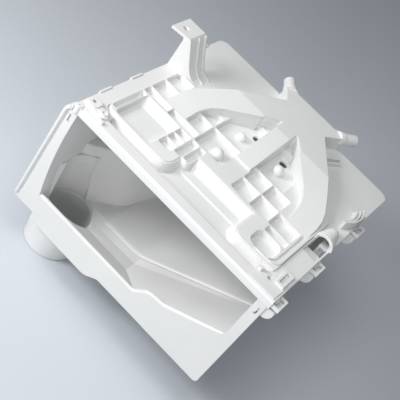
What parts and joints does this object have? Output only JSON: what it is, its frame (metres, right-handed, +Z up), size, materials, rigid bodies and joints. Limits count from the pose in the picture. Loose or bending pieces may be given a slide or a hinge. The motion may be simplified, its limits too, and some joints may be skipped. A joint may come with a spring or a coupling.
{
  "type": "detergent drawer housing",
  "caption": "Open-fronted hopper that holds a washing machine's detergent drawer, with a round outlet below and a clipped lid carrying a ribbed water distributor.",
  "frame": {"origin": "centre of the outlet spout's lower end", "axes": "+Z up along the spout, +X to the right seen from the drawer mouth, +Y from the mouth to the back"},
  "size_m": [0.231, 0.2391, 0.184],
  "materials": {
    "tub": "satin",
    "lid": "satin",
    "water_cover": "satin"
  },
  "bodies": {
    "root": {"tub": "tub", "lid": "lid", "water_cover": "water_cover"}
  },
  "joints": []
}
